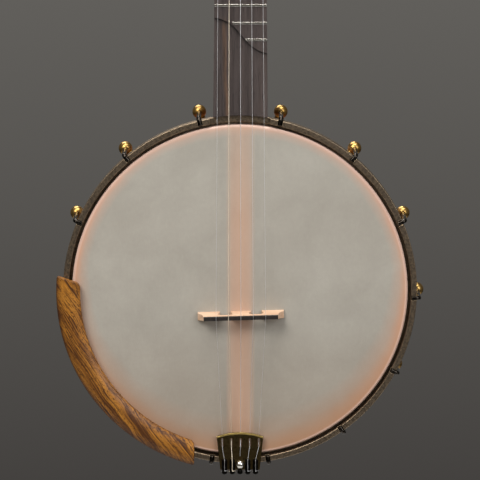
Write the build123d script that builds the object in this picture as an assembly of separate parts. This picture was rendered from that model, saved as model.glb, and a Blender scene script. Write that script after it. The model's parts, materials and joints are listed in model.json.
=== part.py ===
from build123d import *
import math
import os

# Open-back five-string banjo, in millimetres. +Z runs up the neck, -Y is the side
# the head faces, +X is the treble side. The origin is the centre of the head's front.

# ---------------------------------------------------------------- driving sizes
HEAD_R = 152.4             # twelve-inch head, outside of its collar
SCALE = 635.0              # string length, nut to bridge
BRIDGE_Z = -22.2           # where the strings cross the bridge
BRIDGE_H = 16.0            # head to string
POT_DEPTH = 72.0           # head's front to the back edge of the rim
FIT = 0.05                 # play between pieces fixed together
RUN = 0.3                  # play between pieces that move

# head, rim and rings
FILM = 0.4
CROWN_LEN = 2.0            # the film's rolled edge; its collar goes on from here
COLLAR_LEN = 14.0
RIM_R = HEAD_R - 1.2
RIM_WALL = 15.7
TONE_W = 6.0
TONE_H = 6.4
HOOP_IN = HEAD_R + 3.1
HOOP_OUT = HOOP_IN + 5.2
HOOP_FRONT = -2.5
HOOP_BACK = 9.0
HOOP_NECK_CUT = 4.0
HOOP_NECK_W = 55.0
FLESH_W = 5.0
FLESH_H = 5.0

# tension brackets, as angles clockwise from the neck seen from the front
HOOK_ANGLES = (13.2, 40.0, 66.5, 92.3, 118.0, 144.2, 170.7)
HOOK_R = 2.0
HOOK_BEND = 2.45
HOOK_NOTCH = 3.8
HOOK_SEAT = 0.25
SHANK_AT = HOOP_OUT + HOOK_R + 0.15
SHOE_Y = 42.0
BALL_R = 6.35
BALL_FLAT = 5.5
NUT_LEN = 8.0
NUT_R = 4.1
BOLT_R = 2.4
WASHER_R = 7.0
WASHER_T = 1.2

# armrest
REST_FROM = 194.6           # ends of its outer edge, clockwise from the neck
REST_TO = 275.3
REST_SKEW = 2.1            # its inner edge is this much shorter at each end
REST_IN = HEAD_R - 7.4
REST_OUT = HOOP_OUT + 5.9
REST_UNDER = -4.0
REST_TOP = -11.5
STRAP_ANGLES = (228.9, 254.9)
STRAP_T = 1.3
STRAP_W = 12.0
STRAP_SCREW_R = REST_IN + 4.5

# tailpiece
TAIL_LIP_Z = -HEAD_R + 21.4
TAIL_LIP_SAG = 3.9
TAIL_HALF_TOP = 21.4
TAIL_HALF_END = 18.0
TAIL_BACK = HOOP_FRONT - 0.5
TAIL_FRONT = TAIL_BACK - 1.6
LIP_FRONT = TAIL_FRONT - 0.8
LIP_W = 1.6
HANGER_R = 2.0
HANGER_NOTCH = 2.4         # groove in the hoop's outside that the hanger lies in
HANGER_Z = -(HOOP_OUT + HANGER_R + 0.2) + HANGER_NOTCH
TAIL_END_Z = HANGER_Z - 5.5
SLOT_PITCH = 8.4
SLOT_MID = 0.5
SLOT_TOP = TAIL_LIP_Z - 5.5
SLOT_END = SLOT_TOP - 8.3
PRONG_PITCH = 7.1
PRONG_R = 2.5
PRONG_Y = TAIL_BACK + 0.4 - PRONG_R
PRONG_TOP = TAIL_END_Z + 8.5
PRONG_END = TAIL_END_Z - 2.3
HOLE_UP = 7.5              # middle string's hole above the hanger

# bridge
BRIDGE_X = 0.8
BRIDGE_TURN = -1.7
BRIDGE_FOOT = 39.2
BRIDGE_TOP = 33.75
BRIDGE_BASE_T = 7.4
BRIDGE_TOP_T = 3.4
CAP_H = 2.2
BRIDGE_PITCH = 11.25

# dowel, brace and end bolt
DOWEL_W = 27.0
DOWEL_D = 22.0
DOWEL_Y = 38.0
DOWEL_INTO_HEEL = 14.0
END_BOLT_R = 2.5
BRACE_X = 19.0
BRACE_Z = (RIM_R - RIM_WALL - 21.5, RIM_R - RIM_WALL - 13.5)

# neck and fingerboard
NUT_Z = BRIDGE_Z + SCALE
FIFTH_FRET_Z = NUT_Z - SCALE * (1 - 2 ** (-5 / 12))
NUT_MID = 4.2
NUT_HALF = 16.5
NUT_T = 5.0
NUT_PITCH = 8.7
BOARD_T = 5.5
BOARD_Y0 = -5.0            # board's front at the pot
BOARD_Y1 = 10.0            # board's front at the nut
BOARD_START = HOOP_OUT + 0.6
TREBLE_POT = 25.0
TREBLE_NUT = 21.0
BASS_POT = -24.2
BASS_FIFTH = -20.9
BASS_NUT = -12.3
STEP_Z = FIFTH_FRET_Z + 24.7   # the wide part of the neck starts to narrow here
STEP_TOP_Z = STEP_Z + 9.5
SCOOP = 2.5
SCOOP_ABOVE = 4.1          # bass end of the scoop's edge above the 15th fret
SCOOP_BELOW = 11.9         # treble end below the 16th fret
FRETS = 16
CUT_FRETS = {15: -6.9, 16: 4.7}    # frets cut short by the scoop, from this x to the edge
FRET_W = 2.0
FRET_H = 0.9
TANG_W = 0.6
TANG_D = 1.6
STRING_NUT_Y = 8.7
HEEL_Z = HOOP_OUT + 45.4   # the heel starts to swell below here
HEEL_BACK = 56.5
CAP_T = 3.5
ROD_W = 6.0
ROD_D = 8.0
POCKET_W = 10.4

# peghead and tuners
PEG_TILT = 13.0
PEG_T = 15.0
OVERLAY_T = 2.0
PEG_LEN = 148.0
POST_X = 18.0
POST_Z = (45.0, 95.0)
POST_R = 2.6
STRING_UP = 4.8            # string above the overlay at the posts
KNOB_W = 20.0
KNOB_L = 16.0
KNOB_T = 7.5
DRUM_R = 9.0
DRUM_L = 16.0

# fifth string's peg
FIFTH_Z = FIFTH_FRET_Z + 17.2
PIP_Z = FIFTH_FRET_Z + 2.15
PIP_X = -18.6
FIFTH_WIND_X = -26.5
FIFTH_DRUM_R = 8.0
FIFTH_WINDOW = 8.0         # open space round the fifth post for its string

STRING_R = {1: 0.14, 2: 0.165, 3: 0.216, 4: 0.33, 5: 0.14}
# place of each string across the bridge, from the bass side
ACROSS = {5: 0, 4: 1, 3: 2, 2: 3, 1: 4}


# ---------------------------------------------------------------- helpers
def turned(points):
    """A ring or disc turned about Y from (radius, y) points."""
    return revolve(make_face(Polyline(*points, close=True)), Axis.Y)


def disc(r, y0, y1):
    return Pos(0, (y0 + y1) / 2, 0) * Rot(X=90) * Cylinder(r, abs(y1 - y0))


def tube(r_in, r_out, y0, y1):
    return disc(r_out, y0, y1) - disc(r_in, min(y0, y1) - 1, max(y0, y1) + 1)


def block(x0, x1, y0, y1, z0, z1):
    place = Pos((x0 + x1) / 2, (y0 + y1) / 2, (z0 + z1) / 2)
    return place * Box(abs(x1 - x0), abs(y1 - y0), abs(z1 - z0))


def around(angle):
    """Turns a piece made at the neck side to an angle clockwise from the front."""
    return Rot(0, angle, 0)


def along_z(r, x, y, z0, z1):
    return Pos(x, y, (z0 + z1) / 2) * Cylinder(r, abs(z1 - z0))


def along_x(r, x0, x1, y, z):
    return Pos((x0 + x1) / 2, y, z) * Rot(Y=90) * Cylinder(r, abs(x1 - x0))


def rod(points, r):
    """Round wire through the points, with ball corners."""
    places = [Vector(*p) for p in points]
    solid = None
    for a, b in zip(places, places[1:]):
        piece = extrude(Plane(origin=a, z_dir=b - a) * Circle(r), amount=(b - a).length)
        solid = piece if solid is None else solid + piece
    for p in places[1:-1]:
        solid = solid + Pos(p) * Sphere(r)
    return solid


def group(pieces):
    """One node from pieces that stay separate solids."""
    found = []
    for piece in pieces:
        found.extend(piece.solids())
    return Compound(found)


def mirrored_angles():
    return [s * a for a in HOOK_ANGLES for s in (1, -1)]


def board_y(z):
    """Front of the fingerboard, before the scoop."""
    return BOARD_Y0 + (z - HEAD_R) * (BOARD_Y1 - BOARD_Y0) / (NUT_Z - HEAD_R)


BOARD_SLOPE = math.degrees(math.atan((BOARD_Y1 - BOARD_Y0) / (NUT_Z - HEAD_R)))


# length of the board along its own slope, from the pot's edge to the nut
BOARD_LEN = math.hypot(NUT_Z - HEAD_R, BOARD_Y1 - BOARD_Y0)


def treble_x(z):
    return TREBLE_POT + (z - HEAD_R) * (TREBLE_NUT - TREBLE_POT) / (NUT_Z - HEAD_R)


def bass_x(z):
    """Bass edge of the wide part of the neck."""
    fifth_fret = fret_z(5)
    return BASS_POT + (z - HEAD_R) * (BASS_FIFTH - BASS_POT) / (fifth_fret - HEAD_R)


def bass_narrow_x(z):
    """Bass edge of the narrow part, above the fifth fret."""
    return BASS_NUT - (NUT_Z - z) * 0.009


def fret_z(n):
    return NUT_Z - SCALE * (1 - 2 ** (-n / 12))


def bridge_x(n):
    return BRIDGE_X + (ACROSS[n] - 2) * BRIDGE_PITCH


def nut_x(n):
    return NUT_MID + (2.5 - n) * NUT_PITCH


def string_y(z):
    """Height of the strings between the bridge and the nut."""
    return -BRIDGE_H + (z - BRIDGE_Z) * (STRING_NUT_Y + BRIDGE_H) / SCALE


# ---------------------------------------------------------------- pot
def make_head():
    pts = [(0, 0), (HEAD_R - 1.2, 0), (HEAD_R, 1.2), (HEAD_R, CROWN_LEN)]
    pts += [(HEAD_R - FILM, CROWN_LEN), (HEAD_R - FILM, 1.4), (HEAD_R - 1.4, FILM), (0, FILM)]
    return turned(pts)


def make_head_collar():
    return tube(HEAD_R - FILM, HEAD_R, CROWN_LEN, COLLAR_LEN)


def make_tone_ring():
    outer = HEAD_R - FILM - 0.2
    inner = outer - TONE_W
    front = FILM
    back = FILM + TONE_H
    face = make_face(Polyline((inner, front), (outer, front), (outer, back), (inner, back), close=True))
    ring = revolve(face, Axis.Y)
    return fillet(ring.edges().sort_by(Axis.Y)[:2], 2.7)


def make_rim():
    front = FILM + TONE_H
    rim = tube(RIM_R - RIM_WALL, RIM_R, front, POT_DEPTH)
    edges = rim.edges().filter_by(GeomType.CIRCLE).sort_by(Axis.Y)[-2:]
    rim = chamfer(edges, 1.2)
    for angle in mirrored_angles():
        rim -= around(angle) * along_z(BOLT_R + FIT, 0, SHOE_Y, RIM_R - RIM_WALL - 5, RIM_R + 5)
    half_w = DOWEL_W / 2 + FIT
    half_d = DOWEL_D / 2 + FIT
    rim -= block(-half_w, half_w, DOWEL_Y - half_d, DOWEL_Y + half_d, RIM_R - RIM_WALL - 20, RIM_R + 10)
    rim -= along_z(END_BOLT_R + FIT, 0, DOWEL_Y, -RIM_R - 10, -RIM_R + RIM_WALL + 20)
    return rim


def make_flesh_hoop():
    inner = HEAD_R + FIT
    return tube(inner, inner + FLESH_W, HOOP_BACK + FIT, HOOP_BACK + FIT + FLESH_H)


def make_tension_hoop():
    hoop = tube(HOOP_IN, HOOP_OUT, HOOP_FRONT, HOOP_BACK)
    hoop = chamfer(hoop.edges().filter_by(GeomType.CIRCLE), 0.4)
    half = HOOP_NECK_W / 2
    hoop -= block(-half, half, HOOP_FRONT - 5, HOOP_FRONT + HOOP_NECK_CUT, HOOP_IN - 30, HOOP_OUT + 20)
    wide = HOOK_R + 0.15
    for angle in mirrored_angles():
        notch = block(-wide, wide, HOOP_FRONT - 5, HOOP_FRONT + HOOK_NOTCH, HOOP_IN - 5, HOOP_OUT + 5)
        hoop -= around(angle) * notch
    return hoop - Pos(0, 0, HANGER_Z) * disc(HANGER_R + 0.15, HOOP_FRONT - 5, HOOP_BACK + 5)


def make_hook():
    arm_y = HOOP_FRONT + HOOK_NOTCH - HOOK_SEAT - HOOK_R
    top = (0, arm_y, HOOP_IN + 0.6)
    start = (0, arm_y, SHANK_AT - HOOK_BEND)
    bend = (0, arm_y + HOOK_BEND, SHANK_AT)
    end = (0, SHOE_Y + BALL_FLAT + NUT_LEN - 2.6, SHANK_AT)
    corner = HOOK_BEND * (1 - math.sqrt(0.5))
    middle = (0, arm_y + corner, SHANK_AT - corner)
    path = Line(top, start) + ThreePointArc(start, middle, bend) + Line(bend, end)
    wire = sweep(Plane(origin=top, z_dir=(0, 0, 1)) * Circle(HOOK_R), path=path)
    return chamfer(wire.edges().filter_by(GeomType.CIRCLE).sort_by(Axis.Z)[:1], 0.5)


def make_shoe():
    ball = Pos(0, SHOE_Y, SHANK_AT) * Sphere(BALL_R)
    ball -= block(-10, 10, SHOE_Y + BALL_FLAT, SHOE_Y + 12, SHANK_AT - 10, SHANK_AT + 10)
    foot = Pos(0, SHOE_Y, (RIM_R + SHANK_AT) / 2) * Cone(5.0, 3.6, SHANK_AT - RIM_R)
    shoe = ball + foot + along_z(6.2, 0, SHOE_Y, RIM_R, RIM_R + 1.3)
    shoe -= Pos(0, SHOE_Y, SHANK_AT) * Rot(X=90) * Cylinder(HOOK_R + 0.15, 40)
    shoe -= along_z(BOLT_R + FIT, 0, SHOE_Y, RIM_R - 2, SHANK_AT - 4.2)
    return shoe


def make_hook_nut():
    start = SHOE_Y + BALL_FLAT + FIT
    nut = Pos(0, start, SHANK_AT) * Rot(X=-90) * extrude(RegularPolygon(NUT_R, 6), amount=NUT_LEN - 2)
    dome = Pos(0, start + NUT_LEN - 2, SHANK_AT) * Sphere(NUT_R * 0.86)
    nut += dome & block(-9, 9, start, start + NUT_LEN + 2, SHANK_AT - 9, SHANK_AT + 9)
    deep = NUT_LEN - 2.4
    return nut - Pos(0, start + deep / 2, SHANK_AT) * Rot(X=90) * Cylinder(HOOK_R + FIT, deep)


def make_shoe_washer():
    outer = RIM_R - RIM_WALL - 0.2
    ring = along_z(WASHER_R, 0, SHOE_Y, outer - WASHER_T, outer)
    return ring - along_z(BOLT_R + FIT, 0, SHOE_Y, outer - 9, outer + 9)


def make_shoe_bolt():
    seat = RIM_R - RIM_WALL - 0.2 - WASHER_T
    bolt = along_z(BOLT_R, 0, SHOE_Y, seat, SHANK_AT - 4.4)
    bolt += Pos(0, SHOE_Y, seat - 3.2) * extrude(RegularPolygon(5.0, 6), amount=3.2)
    return bolt


# ---------------------------------------------------------------- armrest
def ring_point(r, angle):
    a = math.radians(angle)
    return (r * math.sin(a), r * math.cos(a))


def make_armrest():
    mid = (REST_FROM + REST_TO) / 2
    far = [ring_point(REST_OUT, turn) for turn in (REST_FROM, mid, REST_TO)]
    outer = ThreePointArc(*far)
    inner_to = ring_point(REST_IN, REST_TO - REST_SKEW)
    inner_from = ring_point(REST_IN, REST_FROM + REST_SKEW)
    end = Line(ring_point(REST_OUT, REST_TO), inner_to)
    inner = ThreePointArc(inner_to, ring_point(REST_IN, mid), inner_from)
    start = Line(inner_from, ring_point(REST_OUT, REST_FROM))
    plan = make_face(outer + end + inner + start)
    near = [v for v in plan.vertices() if math.hypot(v.X, v.Y) < (REST_IN + REST_OUT) / 2]
    plan = fillet(near, 6.5)
    far = [v for v in plan.vertices() if math.hypot(v.X, v.Y) > REST_OUT - 1]
    plan = fillet(far, 1.8)
    # the plan is drawn with its Y along the part's Z
    bar = extrude(Plane(origin=(0, 0, 0), x_dir=(1, 0, 0), z_dir=(0, -1, 0)) * plan, amount=20)
    outer_edge = (REST_OUT + 1, REST_TOP + 4.0)
    inner_edge = (REST_IN - 1, REST_TOP + 4.6)
    side = Polyline(outer_edge, (REST_OUT + 1, REST_UNDER), (REST_IN - 1, REST_UNDER), inner_edge)
    crown = ThreePointArc(inner_edge, (REST_IN + 10, REST_TOP), outer_edge)
    bar &= revolve(make_face(side + crown), Axis.Y)
    for angle in STRAP_ANGLES:
        for x in (-3.5, 3.5):
            hole = Pos(x, -6, STRAP_SCREW_R) * Rot(X=90) * Cylinder(1.1 + FIT, 4.2)
            bar -= around(angle) * hole
    return bar


def make_strap():
    half = STRAP_W / 2
    leg_in = HOOP_OUT + 1.3
    leg_out = leg_in + STRAP_T
    jaw_y = HOOP_BACK + 0.2
    strap = block(-half, half, REST_UNDER, REST_UNDER + STRAP_T, REST_IN + 2, leg_out)
    strap += block(-half, half, REST_UNDER, jaw_y + STRAP_T, leg_in, leg_out)
    strap += block(-half, half, jaw_y, jaw_y + STRAP_T, HOOP_OUT - 2.2, leg_out)
    for x in (-3.5, 3.5):
        strap -= Pos(x, REST_UNDER, STRAP_SCREW_R) * Rot(X=90) * Cylinder(1.1 + FIT, 8)
    return strap - along_z(1.5 + FIT, 0, 3.5, leg_in - 3, leg_out + 3)


def make_strap_screws():
    screws = []
    seat = REST_UNDER + STRAP_T
    for x in (-3.5, 3.5):
        screw = Pos(x, seat + 0.55, STRAP_SCREW_R) * Rot(X=90) * Cylinder(1.9, 1.1)
        screw += Pos(x, seat - 2.4, STRAP_SCREW_R) * Rot(X=90) * Cylinder(1.1, 4.9)
        screws.append(screw)
    grub = along_z(1.5, 0, 3.5, HOOP_OUT + 0.1, HOOP_OUT + 5.5)
    grub -= block(-0.3, 0.3, 0, 8, HOOP_OUT + 4.5, HOOP_OUT + 7)
    screws.append(grub)
    return screws


# ---------------------------------------------------------------- tailpiece
def lip_z(x):
    return TAIL_LIP_Z - TAIL_LIP_SAG * (x / TAIL_HALF_TOP) ** 2


def prong_xs():
    return [(i - 2) * PRONG_PITCH for i in range(5)]


def slot_xs():
    return [SLOT_MID + (i - 2) * SLOT_PITCH for i in range(5)]


def plate_on(face, front, back):
    """Extrudes a face drawn in (x, z) between two depths."""
    plane = Plane(origin=(0, back, 0), x_dir=(1, 0, 0), z_dir=(0, -1, 0))
    return extrude(plane * face, amount=back - front)


def make_tailpiece():
    side = TAIL_HALF_TOP
    lip = ThreePointArc((-side, lip_z(side)), (0, TAIL_LIP_Z), (side, lip_z(side)))
    foot = [(TAIL_HALF_END, TAIL_END_Z), (-TAIL_HALF_END, TAIL_END_Z)]
    sides = Polyline((side, lip_z(side)), *foot, (-side, lip_z(side)))
    plate = plate_on(make_face(lip + sides), TAIL_FRONT, TAIL_BACK)
    lip_low = lip_z(side) - LIP_W
    low = ThreePointArc((side, lip_low), (0, TAIL_LIP_Z - LIP_W), (-side, lip_low))
    ends = [Line((side, lip_z(side)), (side, lip_low)), Line((-side, lip_low), (-side, lip_z(side)))]
    band = plate_on(make_face(lip + ends[0] + low + ends[1]), LIP_FRONT, TAIL_BACK)
    plate += band
    plate += block(-12, 12, TAIL_BACK, HOOP_FRONT - FIT, -HOOP_OUT + 1.8, -HOOP_IN - 0.6)
    for x in prong_xs():
        top = TAIL_END_Z - 1.4 if x == 0 else PRONG_TOP
        plate += along_z(PRONG_R, x, PRONG_Y, top, PRONG_END)
        for z in (top, PRONG_END):
            plate += Pos(x, PRONG_Y, z) * Sphere(PRONG_R)
    for x in slot_xs():
        plate -= block(x - 1.2, x + 1.2, -20, 0, SLOT_TOP - 1.2, SLOT_END + 1.2)
        for z in (SLOT_TOP - 1.2, SLOT_END + 1.2):
            plate -= Pos(x, -7, z) * Rot(X=90) * Cylinder(1.2, 12)
    plate -= Pos(0, -7, HANGER_Z) * Rot(X=90) * Cylinder(HANGER_R + FIT, 12)
    plate -= Pos(0, -7, HANGER_Z + HOLE_UP) * Rot(X=90) * Cylinder(0.7, 12)
    return plate


def make_hanger():
    eye_y0 = DOWEL_Y - 6
    bar = Pos(0, (DOWEL_Y + TAIL_FRONT - 3.2) / 2, HANGER_Z) * Rot(X=90)
    hanger = bar * Cylinder(HANGER_R, DOWEL_Y - TAIL_FRONT + 3.2)
    hanger += block(-6, 6, eye_y0, DOWEL_Y + 6, -RIM_R - 0.3, HANGER_Z - 3)
    return hanger - along_z(END_BOLT_R + FIT, 0, DOWEL_Y, -RIM_R + 5, HANGER_Z - 10)


def make_tail_nut():
    base = TAIL_FRONT - FIT
    nut = disc(3.8, base, base - 2.4) + Pos(0, base - 2.4, 0) * Sphere(3.8)
    nut &= block(-5, 5, base - 9, base, -5, 5)
    return Pos(0, 0, HANGER_Z) * (nut - disc(HANGER_R + FIT, base + 1, base - 3.3))


def make_end_bolt():
    out = HANGER_Z - 3
    bolt = along_z(END_BOLT_R, 0, DOWEL_Y, -RIM_R + RIM_WALL + 22, out - 2)
    bolt += Pos(0, DOWEL_Y, out - FIT - 3.5) * Cone(4.0, 5.6, 7)
    bolt += along_z(6.6, 0, DOWEL_Y, out - FIT - 7, out - FIT - 9.5)
    return bolt


# ---------------------------------------------------------------- bridge
def on_bridge(shape):
    return Pos(BRIDGE_X, 0, BRIDGE_Z) * Rot(0, BRIDGE_TURN, 0) * shape


def bridge_wedge():
    base = BRIDGE_BASE_T / 2
    top = BRIDGE_TOP_T / 2
    face = make_face(Polyline((0, -base), (-BRIDGE_H, -top), (-BRIDGE_H, top), (0, base), close=True))
    # drawn as (y, z) and pushed along X
    plane = Plane(origin=(-60, 0, 0), x_dir=(0, 1, 0), z_dir=(1, 0, 0))
    return extrude(plane * face, amount=120)


def make_bridge_body():
    top = -BRIDGE_H + CAP_H
    foot = BRIDGE_FOOT
    wing = BRIDGE_TOP
    outline = [(-foot, 0), (-foot, -3.0), (-wing - 1.5, -7.5), (-wing, top), (wing, top), (wing + 1.5, -7.5)]
    outline += [(foot, -3.0), (foot, 0)]
    shape = make_face(Polyline(*outline, close=True))
    for mid in (-14.0, 14.0):
        shape -= Pos(mid, 0) * Rectangle(10.0, 8)
        shape -= Pos(mid, -6.4) * RectangleRounded(13.0, 7.6, 3.2)
    body = extrude(shape, amount=6, both=True)
    return on_bridge(body & bridge_wedge())


def make_bridge_cap(strings):
    top = -BRIDGE_H + CAP_H
    cap = block(-BRIDGE_TOP, BRIDGE_TOP, -BRIDGE_H, top, -6, 6) & bridge_wedge()
    cap = on_bridge(cap)
    for n in strings:
        cap -= rod(string_points(n), STRING_R[n] + 0.12)
    return cap


# ---------------------------------------------------------------- neck
def d_section(z, x0, x1, y0, depth):
    """Neck section: flat towards the strings, round behind."""
    mid = (x0 + x1) / 2
    half = (x1 - x0) / 2
    flat = Line((x0, y0, z), (x1, y0, z))
    pts = [(x1, y0, z), (mid + half * 0.94, y0 + depth * 0.34, z), (mid + half * 0.62, y0 + depth * 0.8, z)]
    pts += [(mid, y0 + depth, z)]
    pts += [(mid - half * 0.62, y0 + depth * 0.8, z), (mid - half * 0.94, y0 + depth * 0.34, z), (x0, y0, z)]
    return make_face(flat + Spline(*pts))


def neck_section(z, left, depth):
    return d_section(z, left, treble_x(z), board_y(z) + BOARD_T, depth)


def make_heel():
    sections = []
    for drop, depth in ((0, 19.2), (12, 22.0), (24, 34.0), (34, 52.0), (44, 60.5), (58, 63.0)):
        z = HEEL_Z - drop
        sections.append(neck_section(z, bass_x(z), depth))
    return loft(sections)


PEG_FRAME = Pos(NUT_MID, board_y(NUT_Z + NUT_T) + 3.0, NUT_Z + NUT_T + 0.2) * Rot(-PEG_TILT, 0, 0)


def peg_face(shrink=0.0):
    half = [(0, 16.5), (14, 17.5), (32, 27.5), (50, 31.0)]
    half += [(74, 29.0), (98, 28.5), (118, 30.0), (132, 26.0)]
    right = [(w - shrink, z) for z, w in half]
    left = [(-x, z) for x, z in reversed(right)]
    top = Spline(*right, (0, PEG_LEN - shrink), *left)
    base = Line(left[-1], right[0])
    return make_face(top + base)


def peg_plate(front, back, shrink=0.0):
    plane = Plane(origin=(0, back, 0), x_dir=(1, 0, 0), z_dir=(0, -1, 0))
    return extrude(plane * peg_face(shrink), amount=back - front)


def post_places():
    """Post of each string, as (x, z) on the peghead."""
    low, high = POST_Z
    return {4: (-POST_X, low), 3: (-POST_X, high), 2: (POST_X, high), 1: (POST_X, low)}


def fifth_y():
    return board_y(FIFTH_Z) + BOARD_T + 4.6


def rod_channel(play):
    half = ROD_W / 2 + play
    z0 = HEEL_Z - 20 - play
    z1 = NUT_Z + NUT_T + 14.0 + play
    tilt = Pos(0, board_y(z0) + BOARD_T, z0) * Rot(-BOARD_SLOPE, 0, 0)
    return tilt * block(-half + NUT_MID / 2, half + NUT_MID / 2, -play, ROD_D + play, 0, z1 - z0)


def heel_cut():
    """Room for the pot at the heel."""
    cut = disc(RIM_R + FIT, -30, 90)
    return cut + disc(BOARD_START, -30, HOOP_BACK + FLESH_H + 0.8)


def make_neck():
    end = NUT_Z + NUT_T
    neck = loft([neck_section(HEEL_Z, bass_x(HEEL_Z), 19.2), neck_section(STEP_Z, bass_x(STEP_Z), 17.0)])
    neck += loft([neck_section(z, x, 17.0) for x, z in step_points()])
    upper_low = neck_section(STEP_TOP_Z, bass_narrow_x(STEP_TOP_Z), 17.0)
    neck += loft([upper_low, neck_section(end, bass_narrow_x(end), 14.5)])
    neck += make_heel() - block(-40, 40, HEEL_BACK, 90, HEAD_R - 50, HEEL_Z + 4)
    grip = peg_plate(0, PEG_T)
    neck += PEG_FRAME * grip
    neck -= heel_cut()
    half_w = DOWEL_W / 2 + FIT
    half_d = DOWEL_D / 2 + FIT
    socket_end = RIM_R + DOWEL_INTO_HEEL + FIT
    neck -= block(-half_w, half_w, DOWEL_Y - half_d, DOWEL_Y + half_d, RIM_R - 50, socket_end)
    # nothing in front of the board's seat below the nut
    seat = Pos(0, board_y(HEAD_R) + BOARD_T, HEAD_R) * Rot(-BOARD_SLOPE, 0, 0)
    neck -= seat * block(-60, 60, -30, 0, -20, BOARD_LEN + NUT_T + FIT)
    for x, z in post_places().values():
        neck -= PEG_FRAME * (Pos(x, PEG_T / 2, z) * Rot(X=90) * Cylinder(4.6, PEG_T + 6))
    neck -= rod_channel(FIT)
    neck -= PEG_FRAME * block(-POCKET_W / 2, POCKET_W / 2, -4, 8, 2, 20)
    neck -= along_x(3.6 + FIT, bass_x(FIFTH_Z) - 5, -6, fifth_y(), FIFTH_Z)
    for hole in cover_screw_places():
        neck -= PEG_FRAME * (Pos(hole[0], 0, hole[1]) * Rot(X=90) * Cylinder(0.9, 8))
    return neck


def scoop_cutter():
    """The low part of the board: below an S-shaped line across it."""
    high = fret_z(15) + SCOOP_ABOVE
    low = fret_z(16) - SCOOP_BELOW
    bass = (bass_x(high) - 6, high)
    treble = (treble_x(low) + 6, low)
    bends = ((-18, 0.987), (-10, 0.874), (-2, 0.648), (4.7, 0.384), (12, 0.165), (18, 0.052))
    edge = Spline(bass, *[(x, low + (high - low) * share) for x, share in bends], treble)
    rest = Polyline(treble, (40, HEAD_R - 12), (-40, HEAD_R - 12), bass)
    face = make_face(edge + rest)
    plane = Plane(origin=(0, 0, 0), x_dir=(1, 0, 0), z_dir=(0, -1, 0))
    slab = extrude(plane * face, amount=40, both=True)
    floor = Pos(0, board_y(HEAD_R) + SCOOP, HEAD_R) * Rot(-BOARD_SLOPE, 0, 0)
    return slab & (floor * block(-60, 60, -30, 0, -30, 300))


def step_points():
    """Bass edge of the neck where it narrows above the fifth peg, as (x, z)."""
    wide = bass_x(STEP_Z)
    slim = bass_narrow_x(STEP_TOP_Z)
    points = []
    for i in range(7):
        t = i / 6
        ease = t * t * (3 - 2 * t)
        points.append((wide + (slim - wide) * ease, STEP_Z + (STEP_TOP_Z - STEP_Z) * t))
    return points


def board_blank():
    base = BOARD_START - 14
    low = [(bass_x(base), base)]
    end = NUT_Z + 2
    high = [(bass_narrow_x(end), end), (treble_x(end), end)]
    face = make_face(Polyline(*low, *step_points(), *high, (treble_x(base), base), close=True))
    plane = Plane(origin=(0, 0, 0), x_dir=(1, 0, 0), z_dir=(0, -1, 0))
    slab = extrude(plane * face, amount=60, both=True)
    place = Pos(0, board_y(HEAD_R), HEAD_R) * Rot(-BOARD_SLOPE, 0, 0)
    return slab & (place * block(-60, 60, 0, BOARD_T - FIT, -20, BOARD_LEN))


def fret_span(n):
    z = fret_z(n)
    left = bass_x(z) if n > 5 else bass_narrow_x(z)
    if n == 5:
        left = bass_narrow_x(z)
    left = CUT_FRETS.get(n, left)
    return left + 0.3, treble_x(z) - 0.3


def make_fret(n, play=0.0):
    x0, x1 = fret_span(n)
    place = Pos(0, board_y(fret_z(n)), fret_z(n)) * Rot(-BOARD_SLOPE, 0, 0)
    tang = block(x0 + 0.4 - play, x1 - 0.4 + play, 0, TANG_D + play, -TANG_W / 2 - play, TANG_W / 2 + play)
    if play:
        return place * tang
    crown = Pos((x0 + x1) / 2, FRET_W * 0.62, 0) * Rot(Y=90) * Cylinder(FRET_H + FRET_W * 0.62, x1 - x0)
    crown &= block(x0, x1, -FRET_H, 0, -FRET_W / 2, FRET_W / 2)
    return place * (crown + tang)


def make_fingerboard():
    board = board_blank() - scoop_cutter()
    board -= disc(BOARD_START, -30, 30)
    for n in range(1, FRETS + 1):
        board -= make_fret(n, 0.02)
    board -= Pos(PIP_X, board_y(PIP_Z), PIP_Z) * Rot(X=90) * Cylinder(1.0 + FIT, 4.4)
    board -= rod(string_points(5)[-2:], 1.0)
    for z in dot_heights():
        board -= Pos(dot_x(z), board_y(z) + BOARD_T / 2, z) * Rot(Y=90) * Cylinder(1.0 + FIT, 2.4)
    return board


def dot_heights():
    return [(fret_z(n) + fret_z(n - 1)) / 2 for n in (3, 5, 7, 10, 12)]


def dot_x(z):
    return bass_x(z) + 1.2 if z < STEP_Z else bass_narrow_x(z) + 1.2


def make_side_dots():
    dots = []
    for z in dot_heights():
        dots.append(Pos(dot_x(z) + 0.1, board_y(z) + BOARD_T / 2, z) * Rot(Y=90) * Cylinder(1.0, 2.0))
    return dots


def make_string_nut():
    x0 = bass_narrow_x(NUT_Z)
    x1 = treble_x(NUT_Z)
    place = Pos(0, board_y(NUT_Z), NUT_Z) * Rot(-BOARD_SLOPE, 0, 0)
    top = STRING_NUT_Y - 0.15 - board_y(NUT_Z)
    nut = place * block(x0, x1, top, BOARD_T - FIT, FIT, NUT_T)
    for n in (1, 2, 3, 4):
        nut -= rod(string_points(n)[-3:], STRING_R[n] + 0.12)
    return nut


def make_pip():
    top = string_y(PIP_Z)
    seat = board_y(PIP_Z)
    pip = Pos(PIP_X, 0, PIP_Z) * disc(1.7, top - 0.2, seat - 0.1)
    pip += Pos(PIP_X, 0, PIP_Z) * disc(1.0, seat - 0.2, seat + 1.9)
    return pip - rod(string_points(5)[-3:], STRING_R[5] + 0.12)


def make_heel_cap():
    cap = make_heel() & block(-40, 40, HEEL_BACK + FIT, HEEL_BACK + CAP_T, HEAD_R - 50, HEEL_Z + 4)
    return cap - heel_cut()


def cover_screw_places():
    return ((-5.9, 17.5), (5.9, 17.5), (0, 29.0))


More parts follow.
